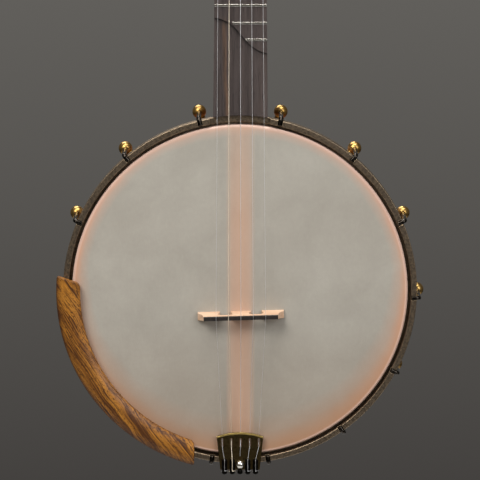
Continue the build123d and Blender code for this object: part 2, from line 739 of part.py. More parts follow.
def make_overlay():
    plate = peg_plate(-OVERLAY_T, -FIT)
    plate -= block(-POCKET_W / 2, POCKET_W / 2, -9, 9, 2, 20)
    for x, z in post_places().values():
        plate -= Pos(x, 0, z) * Rot(X=90) * Cylinder(4.6, 12)
    for x, z in cover_screw_places():
        plate -= Pos(x, 0, z) * Rot(X=90) * Cylinder(0.9, 12)
    return PEG_FRAME * plate


def make_rod_cover():
    face = Polygon((-6.5, 1), (6.5, 1), (7.5, 18), (2.5, 33), (-2.5, 33), (-7.5, 18), align=None)
    plane = Plane(origin=(0, -OVERLAY_T - FIT, 0), x_dir=(1, 0, 0), z_dir=(0, -1, 0))
    cover = extrude(plane * face, amount=1.3)
    for x, z in cover_screw_places():
        cover -= Pos(x, 0, z) * Rot(X=90) * Cylinder(0.9, 12)
    return PEG_FRAME * cover


def make_cover_screws():
    screws = []
    front = -OVERLAY_T - FIT - 1.3
    for x, z in cover_screw_places():
        screw = disc(1.5, front - 0.5, front) + disc(0.85, front, front + 5)
        screws.append(PEG_FRAME * Pos(x, 0, z) * screw)
    return screws


def make_truss_rod():
    bar = rod_channel(-0.3) & block(-30, 30, -20, 60, HEAD_R, NUT_Z + NUT_T - 2)
    z = NUT_Z + NUT_T
    nut = along_z(2.6, NUT_MID / 2, board_y(z) + BOARD_T + ROD_D / 2 - 0.2, z - 4, z + 8)
    return bar + nut


# ---------------------------------------------------------------- dowel and brace
def make_dowel():
    half_w = DOWEL_W / 2
    half_d = DOWEL_D / 2
    top = RIM_R + DOWEL_INTO_HEEL
    stick = block(-half_w, half_w, DOWEL_Y - half_d, DOWEL_Y + half_d, -RIM_R, top)
    stick = chamfer(stick.edges().filter_by(Axis.Z), 2.0)
    keep = disc(RIM_R - RIM_WALL - FIT, 0, 90) + block(-40, 40, 0, 90, 0, RIM_R + 50)
    stick &= keep
    return stick - along_z(END_BOLT_R + FIT, 0, DOWEL_Y, -RIM_R + RIM_WALL + 24, -RIM_R - 50)


def make_brace():
    half_w = DOWEL_W / 2 + 0.1
    half_d = DOWEL_D / 2 + 0.1
    z0, z1 = BRACE_Z
    brace = block(-half_w - 3, half_w + 3, DOWEL_Y - half_d - 3, DOWEL_Y + half_d + 3, z0, z1)
    brace += block(-BRACE_X - 5, BRACE_X + 5, DOWEL_Y - 4, DOWEL_Y + 4, z0, z1)
    brace -= block(-half_w, half_w, DOWEL_Y - half_d, DOWEL_Y + half_d, z0 - 5, z1 + 5)
    for x in (-BRACE_X, BRACE_X):
        brace -= along_z(2.0 + FIT, x, DOWEL_Y, z0 - 5, z1 + 5)
    return brace


def make_brace_screws():
    screws = []
    reach = math.sqrt((RIM_R - RIM_WALL) ** 2 - (BRACE_X + 4) ** 2) - 0.1
    z0, z1 = BRACE_Z
    for x in (-BRACE_X, BRACE_X):
        screw = along_z(2.0, x, DOWEL_Y, z0 - 8, reach) + along_z(4.2, x, DOWEL_Y, z0 - 9, z0 - 5.5)
        screw += along_z(4.0, x, DOWEL_Y, reach - 1.8, reach)
        screws.append(screw)
    return screws


# ---------------------------------------------------------------- tuners
def tuner_ferrule():
    seat = -OVERLAY_T - FIT
    return tube(POST_R + RUN, 6.0, seat - 1.2, seat) + tube(POST_R + RUN, 4.5, seat, seat + 7)


def tuner_housing():
    front = PEG_T + FIT
    cup = disc(DRUM_R, front, front + DRUM_L) - disc(DRUM_R - 1.8, front + 3, front + DRUM_L + 1)
    cup += disc(4.5, front - 6, front)
    return cup - disc(POST_R + RUN, front - 10, front + 4)


def tuner_back_plate():
    back = PEG_T + FIT + DRUM_L
    plate = disc(DRUM_R, back + FIT, back + 1.6)
    return plate - disc(2.0 + RUN, back - 1, back + 3)


def tuner_post():
    wheel = PEG_T + FIT + 3 + RUN
    top = -OVERLAY_T - 11.5
    post = disc(POST_R, top, wheel + 3)
    post += disc(DRUM_R - 1.8 - 0.6, wheel, wheel + 3)
    post -= Pos(0, -OVERLAY_T - STRING_UP, 0) * Rot(Y=90) * Cylinder(0.55, 20)
    return post - Pos(0, top, 0) * Rot(Z=45) * Box(0.8, 0.8, 20)


def knob_blank(start):
    mid = start + KNOB_L / 2
    paddle = Pos(0, mid, 0) * extrude(Ellipse(KNOB_W / 2, KNOB_L / 2), amount=KNOB_T / 2, both=True)
    paddle = fillet(paddle.edges(), 2.4)
    return paddle + disc(3.4, start - 1.6, mid)


def tuner_knob():
    sun = PEG_T + FIT + 3 + RUN + 3 + 0.4
    start = PEG_T + FIT + DRUM_L + 1.6 + 2.2
    knob = knob_blank(start) + disc(2.0, sun, start + 2)
    knob += disc(3.6, sun, sun + 5)
    return knob - disc(1.0 + FIT, start + KNOB_L - 5, start + KNOB_L + 3)


def knob_screw():
    end = PEG_T + FIT + DRUM_L + 1.6 + 2.2 + KNOB_L
    screw = disc(1.0, end - 4.6, end + FIT) + disc(2.2, end + FIT, end + 0.9)
    return screw - block(-3, 3, end + 0.55, end + 2, -0.25, 0.25)


def on_post(n, shape):
    x, z = post_places()[n]
    return PEG_FRAME * Pos(x, 0, z) * shape


# the fifth peg is drawn along Y like the others, then laid over to point at -X
def on_fifth(shape):
    return Pos(bass_x(FIFTH_Z) - 0.3, fifth_y(), FIFTH_Z) * Rot(Z=90) * shape


def fifth_housing():
    far = 1.2 + FIFTH_WINDOW
    cup = disc(3.6, -12, 0.1) + disc(6.0, 0, 1.2)
    cup += block(4.4, 6.4, 0, far + 1, -4, 4)
    cup += disc(FIFTH_DRUM_R, far, far + 13) - disc(FIFTH_DRUM_R - 1.6, far + 2, far + 14)
    cup -= disc(1.6 + RUN, -10, 2)
    return cup - disc(POST_R + RUN, far - 0.1, far + 3)


def fifth_back_plate():
    back = 1.2 + FIFTH_WINDOW + 13
    return disc(FIFTH_DRUM_R, back + FIT, back + 1.6) - disc(2.0 + RUN, back - 1, back + 3)


def fifth_post():
    wheel = 1.2 + FIFTH_WINDOW + 2 + RUN
    post = disc(1.6, -9, 2) + disc(POST_R, 1.2 + RUN, wheel + 2.6)
    post += disc(FIFTH_DRUM_R - 1.6 - 0.6, wheel, wheel + 2.6)
    return post - Pos(0, 5.4, 0) * Rot(Y=90) * Cylinder(0.5, 20)


def fifth_knob():
    sun = 1.2 + FIFTH_WINDOW + 2 + RUN + 2.6 + 0.4
    start = 1.2 + FIFTH_WINDOW + 13 + 1.6 + 2.2
    knob = knob_blank(start) + disc(2.0, sun, start + 2) + disc(3.4, sun, sun + 4)
    return knob - disc(1.0 + FIT, start + KNOB_L - 5, start + KNOB_L + 3)


def fifth_knob_screw():
    end = 1.2 + FIFTH_WINDOW + 13 + 1.6 + 2.2 + KNOB_L
    screw = disc(1.0, end - 4.6, end + FIT) + disc(2.2, end + FIT, end + 0.9)
    return screw - block(-3, 3, end + 0.55, end + 2, -0.25, 0.25)


# ---------------------------------------------------------------- strings
def place_of(location):
    p = location.position
    return (p.X, p.Y, p.Z)


def string_points(n):
    """Route of a string: prong, slot, lip, bridge, nut and the side of its post."""
    r = STRING_R[n]
    i = ACROSS[n]
    slot = slot_xs()[i]
    prong = prong_xs()[i]
    tail_y = TAIL_FRONT - r - FIT
    start = prong_loop(prong, r)
    if prong == 0:
        start = [(0, TAIL_BACK + 0.4, HANGER_Z + HOLE_UP), (0, tail_y, HANGER_Z + HOLE_UP)]
    points = start + [(slot, tail_y, SLOT_END + 1.0), (slot, TAIL_BACK + 0.9, SLOT_TOP + 0.9)]
    lean = math.sin(math.radians(BRIDGE_TURN)) * (bridge_x(n) - BRIDGE_X)
    points.append((bridge_x(n), -BRIDGE_H, BRIDGE_Z - lean))
    if n == 5:
        points.append((PIP_X, string_y(PIP_Z), PIP_Z))
        reach = POST_R + RUN + r
        points.append((FIFTH_WIND_X, fifth_y() - reach, FIFTH_Z))
        return points
    x, z = post_places()[n]
    points.append((nut_x(n), STRING_NUT_Y, NUT_Z + NUT_T / 2))
    side = POST_R + RUN + r
    inner = x + side if x < 0 else x - side
    points.append(place_of(PEG_FRAME * Pos(inner, -OVERLAY_T - STRING_UP, z)))
    return points


def prong_loop(x, r):
    """The string's end, most of the way round its prong and then along its front."""
    sides = 12
    reach = (PRONG_R + r + 0.06) / math.cos(math.pi / sides)
    points = []
    for i in range(sides - 2, -1, -1):
        turn = 2 * math.pi * i / sides
        low = TAIL_END_Z - 0.6 - 0.08 * i
        points.append((x + reach * math.sin(turn), PRONG_Y - reach * math.cos(turn), low))
    points.append((x, PRONG_Y - reach, PRONG_TOP + 1.0))
    return points


def make_string(n):
    return rod(string_points(n), STRING_R[n])


# ---------------------------------------------------------------- all nodes
def build():
    strings = (1, 2, 3, 4, 5)
    parts = {}
    parts["head"] = make_head()
    parts["head_collar"] = make_head_collar()
    parts["tone_ring"] = make_tone_ring()
    parts["rim"] = make_rim()
    parts["flesh_hoop"] = make_flesh_hoop()
    parts["tension_hoop"] = make_tension_hoop()
    sets = {
        "bracket_hooks": make_hook,
        "bracket_shoes": make_shoe,
        "bracket_nuts": make_hook_nut,
        "shoe_washers": make_shoe_washer,
        "shoe_bolts": make_shoe_bolt,
    }
    for name, make in sets.items():
        one = make()
        parts[name] = group(around(angle) * one for angle in mirrored_angles())
    parts["armrest"] = make_armrest()
    parts["armrest_straps"] = group(around(angle) * make_strap() for angle in STRAP_ANGLES)
    screws = make_strap_screws()
    parts["armrest_screws"] = group(around(angle) * screw for angle in STRAP_ANGLES for screw in screws)
    parts["tailpiece"] = make_tailpiece()
    parts["tailpiece_hanger"] = make_hanger()
    parts["tailpiece_nut"] = make_tail_nut()
    parts["end_bolt"] = make_end_bolt()
    parts["bridge_body"] = make_bridge_body()
    parts["bridge_cap"] = make_bridge_cap(strings)
    parts["dowel_stick"] = make_dowel()
    parts["neck_brace"] = make_brace()
    parts["neck_brace_screws"] = group(make_brace_screws())
    parts["neck"] = make_neck()
    parts["heel_cap"] = make_heel_cap()
    parts["fingerboard"] = make_fingerboard()
    parts["frets"] = group(make_fret(n) for n in range(1, FRETS + 1))
    parts["string_nut"] = make_string_nut()
    parts["fifth_string_pip"] = make_pip()
    parts["side_dots"] = group(make_side_dots())
    parts["peghead_overlay"] = make_overlay()
    parts["truss_rod"] = make_truss_rod()
    parts["truss_rod_cover"] = make_rod_cover()
    parts["cover_screws"] = group(make_cover_screws())
    parts["tuner_ferrules"] = group(on_post(n, tuner_ferrule()) for n in post_places())
    parts["tuner_housings"] = group(on_post(n, tuner_housing()) for n in post_places())
    parts["tuner_back_plates"] = group(on_post(n, tuner_back_plate()) for n in post_places())
    for n in post_places():
        parts[f"tuner_post_{n}"] = on_post(n, tuner_post())
        parts[f"tuner_knob_{n}"] = on_post(n, tuner_knob())
        parts[f"knob_screw_{n}"] = on_post(n, knob_screw())
    parts["fifth_tuner_housing"] = on_fifth(fifth_housing())
    parts["fifth_tuner_back_plate"] = on_fifth(fifth_back_plate())
    parts["fifth_tuner_post"] = on_fifth(fifth_post())
    parts["fifth_tuner_knob"] = on_fifth(fifth_knob())
    parts["fifth_knob_screw"] = on_fifth(fifth_knob_screw())
    for n in strings:
        parts[f"string_{n}"] = make_string(n)
    return parts


os.makedirs("parts", exist_ok=True)
for node, shape in build().items():
    export_step(shape, f"parts/{node}.step")
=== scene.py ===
import json
import math

import bpy
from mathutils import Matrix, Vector


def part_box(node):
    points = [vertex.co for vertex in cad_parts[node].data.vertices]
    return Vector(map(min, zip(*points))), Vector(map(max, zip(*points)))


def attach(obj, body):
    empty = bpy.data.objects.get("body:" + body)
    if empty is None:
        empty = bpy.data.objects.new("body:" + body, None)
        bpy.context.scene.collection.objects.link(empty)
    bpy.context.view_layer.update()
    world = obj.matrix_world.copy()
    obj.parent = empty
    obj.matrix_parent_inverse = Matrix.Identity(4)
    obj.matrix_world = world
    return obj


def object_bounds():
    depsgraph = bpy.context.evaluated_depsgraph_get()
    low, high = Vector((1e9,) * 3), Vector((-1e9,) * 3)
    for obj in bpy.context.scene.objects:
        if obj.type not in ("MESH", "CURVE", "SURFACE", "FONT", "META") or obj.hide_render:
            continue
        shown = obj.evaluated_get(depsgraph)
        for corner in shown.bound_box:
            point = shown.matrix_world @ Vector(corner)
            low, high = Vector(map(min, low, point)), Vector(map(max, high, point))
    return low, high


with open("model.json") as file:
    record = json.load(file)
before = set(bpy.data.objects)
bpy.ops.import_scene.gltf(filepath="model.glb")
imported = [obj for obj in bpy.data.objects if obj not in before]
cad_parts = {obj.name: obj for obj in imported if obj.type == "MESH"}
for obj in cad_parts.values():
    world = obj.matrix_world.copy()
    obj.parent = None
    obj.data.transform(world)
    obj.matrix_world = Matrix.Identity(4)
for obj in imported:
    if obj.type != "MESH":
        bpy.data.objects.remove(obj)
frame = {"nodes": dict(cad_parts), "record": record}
cad_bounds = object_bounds()
NODES = frame["nodes"]
JOINTS = {joint["name"]: joint for joint in frame["record"]["behaviour"]["joints"]}

MM = 0.001

# sizes read from the frame
head_low, head_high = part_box("head")
HEAD_R = (head_high[0] - head_low[0]) / 2
dowel_low, dowel_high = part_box("dowel_stick")
DOWEL_HALF = (dowel_high[0] - dowel_low[0]) / 2
rim_low, rim_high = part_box("rim")
RIM_R = (rim_high[0] - rim_low[0]) / 2
REST_R = -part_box("armrest")[0][0]

BOCOTE_SLANT = 57          # degrees that the armrest's grain runs down from +X
GAP_SHADE_REACH = 2.2 * MM     # how far the painted shade reaches out of a gap in the metal
STRIP_X = 0.4 * MM         # middle of the painted band where the dowel stick shows through the film
BEND_W = 3.0 * MM          # width of the painted highlight where the film bends over its collar
STREAK_X = -13.5 * MM      # brown streak in the fingerboard
STREAK_W = 2.6 * MM
WINDING_PITCH = 0.32 * MM  # of the wire wound on the fourth string

# the strings' radii and their wraps on the posts
GAUGES = {
    "string_1": 0.14 * MM,
    "string_2": 0.165 * MM,
    "string_3": 0.216 * MM,
    "string_4": 0.33 * MM,
    "string_5": 0.14 * MM,
}
POST_R = 2.6 * MM
WRAPS = 3.5
FIFTH_WRAPS = 4.5
STEPS_PER_WRAP = 28
WRAP_GAP = 1.06            # wrap to wrap, in string diameters


# ---------------------------------------------------------------- shader helper
class Shade:
    """A node material built one step at a time. Coordinates are the node's own, in metres."""

    def __init__(self, name, roughness=0.5, metallic=0.0, coat=0.0, specular=0.5):
        self.material = bpy.data.materials.new(name)
        self.material.use_nodes = True
        self.tree = self.material.node_tree
        self.shader = self.tree.nodes["Principled BSDF"]
        self.shader.inputs["Roughness"].default_value = roughness
        self.shader.inputs["Metallic"].default_value = metallic
        self.shader.inputs["Coat Weight"].default_value = coat
        self.shader.inputs["Specular IOR Level"].default_value = specular
        self.place = self.node("ShaderNodeTexCoord").outputs["Object"]

    def node(self, kind, **settings):
        made = self.tree.nodes.new(kind)
        for key, value in settings.items():
            setattr(made, key, value)
        return made

    def feed(self, socket, value):
        if isinstance(value, bpy.types.NodeSocket):
            self.tree.links.new(value, socket)
        else:
            socket.default_value = value

    def scaled(self, scale, turn=(0, 0, 0), vector=None):
        made = self.node("ShaderNodeMapping")
        self.feed(made.inputs["Vector"], vector or self.place)
        made.inputs["Scale"].default_value = scale
        made.inputs["Rotation"].default_value = turn
        return made.outputs["Vector"]

    def noise(self, vector, scale, detail=4.0, rough=0.55, warp=0.0):
        made = self.node("ShaderNodeTexNoise")
        self.feed(made.inputs["Vector"], vector)
        made.inputs["Scale"].default_value = scale
        made.inputs["Detail"].default_value = detail
        made.inputs["Roughness"].default_value = rough
        made.inputs["Distortion"].default_value = warp
        return made.outputs["Fac"]

    def ramp(self, fac, *stops):
        """Stops are (position, colour or grey)."""
        made = self.node("ShaderNodeValToRGB")
        ramp = made.color_ramp
        while len(ramp.elements) < len(stops):
            ramp.elements.new(0.5)
        for element, (where, tone) in zip(ramp.elements, stops):
            element.position = where
            element.color = (*tone, 1) if isinstance(tone, tuple) else (tone, tone, tone, 1)
        self.feed(made.inputs["Fac"], fac)
        return made.outputs["Color"]

    def math(self, how, a, b=0.0, c=0.0):
        made = self.node("ShaderNodeMath", operation=how)
        for socket, value in zip(made.inputs, (a, b, c)):
            self.feed(socket, value)
        return made.outputs[0]

    def mix(self, fac, a, b):
        made = self.node("ShaderNodeMix", data_type="RGBA")
        self.feed(made.inputs["Factor"], fac)
        for socket, value in zip(made.inputs[6:8], (a, b)):
            self.feed(socket, (*value, 1) if isinstance(value, tuple) else value)
        return made.outputs[2]

    def split(self):
        made = self.node("ShaderNodeSeparateXYZ")
        self.feed(made.inputs[0], self.place)
        return made.outputs

    def joined(self, x, y, z):
        made = self.node("ShaderNodeCombineXYZ")
        for socket, value in zip(made.inputs, (x, y, z)):
            self.feed(socket, value)
        return made.outputs[0]

    def polar(self):
        """(length round the pot, depth, radius) in metres, for grain that follows the rim."""
        x, y, z = self.split()
        squares = self.math("ADD", self.math("MULTIPLY", x, x), self.math("MULTIPLY", z, z))
        radius = self.math("SQRT", squares)
        turn = self.math("ARCTAN2", x, z)
        return self.joined(self.math("MULTIPLY", turn, RIM_R), y, radius), radius

    def dot(self, direction):
        made = self.node("ShaderNodeVectorMath", operation="DOT_PRODUCT")
        self.feed(made.inputs[0], self.place)
        made.inputs[1].default_value = direction
        return made.outputs["Value"]

    def corners(self, reach, own=True):
        """1 in the open and 0 deep in a corner, of the same piece or of any."""
        made = self.node("ShaderNodeAmbientOcclusion", samples=8, only_local=own)
        made.inputs["Distance"].default_value = reach
        return made.outputs["AO"]

    def edges(self, radius, low=0.02, high=0.35):
        """0 on flat surfaces and 1 at sharp edges, with the rounded normal."""
        bevel = self.node("ShaderNodeBevel", samples=6)
        bevel.inputs["Radius"].default_value = radius
        true = self.node("ShaderNodeNewGeometry").outputs["Normal"]
        dot = self.node("ShaderNodeVectorMath", operation="DOT_PRODUCT")
        self.feed(dot.inputs[0], bevel.outputs[0])
        self.feed(dot.inputs[1], true)
        away = self.math("SUBTRACT", 1.0, dot.outputs["Value"])
        return self.ramp(away, (low, 0.0), (high, 1.0)), bevel.outputs[0]

    def bump(self, height, strength, distance, normal=None):
        made = self.node("ShaderNodeBump")
        made.inputs["Strength"].default_value = strength
        made.inputs["Distance"].default_value = distance
        self.feed(made.inputs["Height"], height)
        if normal is not None:
            self.feed(made.inputs["Normal"], normal)
        return made.outputs["Normal"]

    def done(self, colour, roughness=None, normal=None):
        self.feed(self.shader.inputs["Base Color"], colour)
        if roughness is not None:
            self.feed(self.shader.inputs["Roughness"], roughness)
        if normal is not None:
            self.feed(self.shader.inputs["Normal"], normal)
        return self.material


# ---------------------------------------------------------------- materials
def wood(
    name, dark, mid, light, stretch=(60, 60, 4),
    pores=0.35, coat=0.15, edge=0.5, gloss=(0.3, 0.55), vector=None,
):
    """Long grain: figure, fine fibres and pores, drawn out along the small number in stretch."""
    s = Shade(name, coat=coat)
    s.shader.inputs["Coat Roughness"].default_value = 0.25
    base = vector(s) if vector else s.place
    run = s.scaled(stretch, vector=base)
    figure = s.noise(run, 1.0, 5.0, 0.6, 0.8)
    fibres = s.noise(s.scaled(tuple(v * 9 for v in stretch), vector=base), 1.0, 3.0, 0.6)
    tight = tuple(v * (16 if v > min(stretch) else 9) for v in stretch)
    pore = s.noise(s.scaled(tight, vector=base), 1.0, 1.0, 0.5)
    tone = s.ramp(figure, (0.30, dark), (0.52, mid), (0.72, light))
    tone = s.mix(s.ramp(fibres, (0.35, 0.0), (0.7, 0.45)), tone, dark)
    holes = s.ramp(pore, (0.60, 0.0), (0.68, pores))
    tone = s.mix(holes, tone, tuple(v * 0.35 for v in dark))
    edge_mask, rounded = s.edges(edge * MM)
    tone = s.mix(s.math("MULTIPLY", edge_mask, 0.25), tone, light)
    height = s.math("SUBTRACT", fibres, holes)
    rough = s.ramp(fibres, (0.3, gloss[0]), (0.75, gloss[1]))
    return s.done(tone, rough, s.bump(height, 0.25, 0.15 * MM, rounded))


def round_the_rim(s):
    return s.polar()[0]


def bocote():
    """Golden wood with long dark streaks that run down the armrest at a slant to its curve."""
    s = Shade("bocote", coat=0.12, specular=0.25)
    s.shader.inputs["Coat Roughness"].default_value = 0.25
    slant = math.radians(BOCOTE_SLANT)
    along = s.dot((math.cos(slant), 0, -math.sin(slant)))
    across = s.dot((math.sin(slant), 0, math.cos(slant)))
    depth = s.dot((0, 1, 0))
    broad_place = s.joined(s.math("MULTIPLY", along, 14.0), depth, s.math("MULTIPLY", across, 22.0))
    bend = s.noise(broad_place, 1.0, 2.0, 0.5)
    bent = s.math("ADD", across, s.math("MULTIPLY", bend, 0.016))
    grain = s.joined(bent, s.math("MULTIPLY", depth, 0.6), s.math("MULTIPLY", along, 0.028))
    broad = s.noise(grain, 190.0, 3.0, 0.6, 0.2)
    thin = s.noise(grain, 620.0, 3.0, 0.62, 0.1)
    fine = s.noise(grain, 1700.0, 2.0, 0.6)
    figure = s.ramp(
        broad, (0.34, (0.12, 0.042, 0.008)), (0.47, (0.30, 0.118, 0.016)),
        (0.60, (0.42, 0.172, 0.022)), (0.75, (0.53, 0.24, 0.04)),
    )
    lines = s.ramp(thin, (0.38, 1.0), (0.45, 0.6), (0.51, 0.0))
    tone = s.mix(lines, figure, (0.050, 0.015, 0.004))
    tone = s.mix(s.ramp(broad, (0.27, 0.85), (0.36, 0.0)), tone, (0.035, 0.010, 0.003))
    tone = s.mix(s.ramp(fine, (0.40, 0.45), (0.58, 0.0)), tone, (0.10, 0.035, 0.008))
    short = s.joined(bent, depth, s.math("MULTIPLY", along, 0.22))
    flecks = s.noise(short, 1500.0, 1.0, 0.5)
    pores = s.ramp(flecks, (0.58, 0.0), (0.66, 0.75))
    tone = s.mix(pores, tone, (0.035, 0.011, 0.003))
    # painted shade: darker over the rounded edges
    edge_mask, rounded = s.edges(1.6 * MM, 0.01, 0.4)
    tone = s.mix(s.math("MULTIPLY", edge_mask, 0.4), tone, (0.045, 0.016, 0.005))
    # painted shade: darker over the rounded-over outer edge
    outer = s.math("SUBTRACT", REST_R, s.polar()[1])
    painted_rolled_shade = s.ramp(s.math("DIVIDE", outer, 5 * MM), (0.0, 0.85), (0.35, 0.45), (1.0, 0.0))
    tone = s.mix(painted_rolled_shade, tone, (0.05, 0.018, 0.006))
    rough = s.ramp(thin, (0.3, 0.52), (0.7, 0.38))
    return s.done(tone, rough, s.bump(s.math("SUBTRACT", fine, pores), 0.25, 0.12 * MM, rounded))


def metal(
    name, bright, body, stain, patina=0.5, rough=(0.2, 0.45), edge=0.35, grain=900.0, wear=0.9, gap_shade=0.0
):
    """Brass or steel: a stained body, brighter where handling has rubbed the edges, with painted shade, near
    black, in the gaps.
    """
    s = Shade(name, metallic=1.0)
    clouds = s.noise(s.place, 140.0, 5.0, 0.65, 0.6)
    fine = s.noise(s.place, grain, 3.0, 0.6)
    spots = s.noise(s.place, 430.0, 2.0, 0.5, 0.3)
    rubbed = s.ramp(clouds, (0.35, 0.0), (0.68, 1.0 - patina))
    tone = s.mix(rubbed, body, bright)
    low = 0.62 - 0.28 * patina
    tone = s.mix(s.ramp(spots, (low, 0.0), (low + 0.22, patina)), tone, stain)
    edge_mask, rounded = s.edges(edge * MM)
    tone = s.mix(s.math("MULTIPLY", edge_mask, wear), tone, bright)
    if gap_shade:
        # painted shade: near black where the metal sits in a gap or corner beside any piece
        painted_shade = s.ramp(s.corners(GAP_SHADE_REACH, own=False), (0.25, 1.0), (0.6, 0.0))
        tone = s.mix(s.math("MULTIPLY", painted_shade, gap_shade), tone, (0.006, 0.005, 0.004))
    shine = s.ramp(clouds, (0.3, rough[1]), (0.75, rough[0]))
    return s.done(tone, shine, s.bump(fine, 0.12, 0.04 * MM, rounded))


def tail_metal():
    """The tailpiece's dark cast brass: rubbed gold at the lip, blackened towards the prongs."""
    s = Shade("tail_brass", metallic=1.0)
    low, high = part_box("tailpiece")
    lip_y = min(v.co.y for v in NODES["tailpiece"].data.vertices if v.co.z > high[2] - 1 * MM)
    clouds = s.noise(s.place, 220.0, 5.0, 0.65, 0.6)
    fine = s.noise(s.place, 1100.0, 3.0, 0.6)
    tone = s.ramp(clouds, (0.3, (0.042, 0.028, 0.012)), (0.7, (0.12, 0.085, 0.034)))
    x, y, z = s.split()
    end = s.math("DIVIDE", s.math("SUBTRACT", z, low[2]), high[2] - low[2])
    prongs = s.math("DIVIDE", s.math("SUBTRACT", low[1] + 2.2 * MM, y), 0.5 * MM)
    front = s.ramp(prongs, (0.0, 0.0), (1.0, 1.0))
    black = s.math("MULTIPLY", front, s.ramp(end, (0.42, 1.0), (0.50, 0.0)))
    tone = s.mix(black, tone, (0.010, 0.009, 0.008))
    edge_mask, rounded = s.edges(0.45 * MM)
    gold = s.math("MULTIPLY", edge_mask, s.ramp(end, (0.5, 0.05), (0.9, 0.9)))
    tone = s.mix(gold, tone, (0.78, 0.56, 0.20))
    # the raised lip's front and top are rubbed bright
    lip_front = lip_y + 0.5 * MM
    lip = s.ramp(s.math("DIVIDE", s.math("SUBTRACT", lip_front, y), 0.2 * MM), (0.0, 0.0), (1.0, 0.9))
    lip = s.math("MULTIPLY", lip, s.ramp(end, (0.80, 0.0), (0.82, 1.0)))
    tone = s.mix(lip, tone, (0.80, 0.58, 0.20))
    return s.done(tone, s.ramp(clouds, (0.3, 0.5), (0.7, 0.3)), s.bump(fine, 0.2, 0.05 * MM, rounded))


def film():
    """The head: grey-beige film with fibres in it, with painted light: peach where the wood behind shows
    through, darker low down, and a highlight at its bend.
    """
    s = Shade("film", roughness=0.42, specular=0.35)
    x, y, z = s.split()
    radius = s.polar()[1]
    clouds = s.noise(s.place, 22.0, 5.0, 0.6, 0.4)
    mottle = s.noise(s.place, 260.0, 4.0, 0.7, 0.2)
    fibre = s.noise(s.scaled((700, 700, 120), (0, math.radians(28), 0)), 1.0, 2.0, 0.6)
    tone = s.ramp(clouds, (0.3, (0.335, 0.320, 0.280)), (0.7, (0.400, 0.385, 0.340)))
    tone = s.mix(s.ramp(mottle, (0.35, 0.16), (0.65, 0.0)), tone, (0.27, 0.255, 0.22))
    tone = s.mix(s.ramp(fibre, (0.55, 0.0), (0.75, 0.14)), tone, (0.50, 0.47, 0.41))
    # painted light: the rim's wall showing through the film near its edge, as a peach band wider towards the
    # bottom
    inward = s.math("SUBTRACT", HEAD_R, radius)
    wobble = s.math("MULTIPLY", s.math("SUBTRACT", clouds, 0.5), 8 * MM)
    upper = s.math("DIVIDE", s.math("ADD", z, HEAD_R), 2 * HEAD_R)
    spread = s.ramp(upper, (0.0, 0.42), (0.35, 0.23), (0.62, 0.13), (1.0, 0.10))
    width = s.math("MULTIPLY", spread, 100 * MM)
    fade = s.math("DIVIDE", s.math("ADD", inward, wobble), width)
    painted_rim_glow = s.ramp(fade, (0.0, 0.95), (0.22, 0.72), (0.5, 0.30), (1.0, 0.0))
    peach = s.ramp(
        upper, (0.0, (0.47, 0.235, 0.125)), (0.5, (0.57, 0.29, 0.175)), (1.0, (0.70, 0.42, 0.31))
    )
    tone = s.mix(painted_rim_glow, tone, peach)
    # painted shade: the lower part of the head is darkened towards brown
    tone = s.mix(s.ramp(upper, (0.0, 0.34), (0.12, 0.28), (0.4, 0.0)), tone, (0.23, 0.155, 0.095))
    # painted light: the dowel stick behind the film showing through as a peach band
    side = s.math("ABSOLUTE", s.math("SUBTRACT", x, STRIP_X))
    painted_dowel_strip = s.ramp(s.math("DIVIDE", side, DOWEL_HALF), (0.0, 0.60), (0.55, 0.50), (0.85, 0.22), (1.0, 0.04))
    painted_dowel_strip = s.math("MULTIPLY", painted_dowel_strip, s.ramp(upper, (0.70, 1.0), (0.95, 0.6)))
    tone = s.mix(painted_dowel_strip, tone, (0.62, 0.345, 0.22))
    # painted highlight: the bend over the collar catching the light
    bend = s.ramp(s.math("DIVIDE", inward, BEND_W), (0.0, 0.85), (0.5, 0.5), (1.0, 0.0))
    tone = s.mix(bend, tone, (0.78, 0.57, 0.48))
    rough = s.ramp(mottle, (0.3, 0.50), (0.7, 0.38))
    return s.done(tone, rough, s.bump(s.math("ADD", mottle, fibre), 0.12, 0.08 * MM))


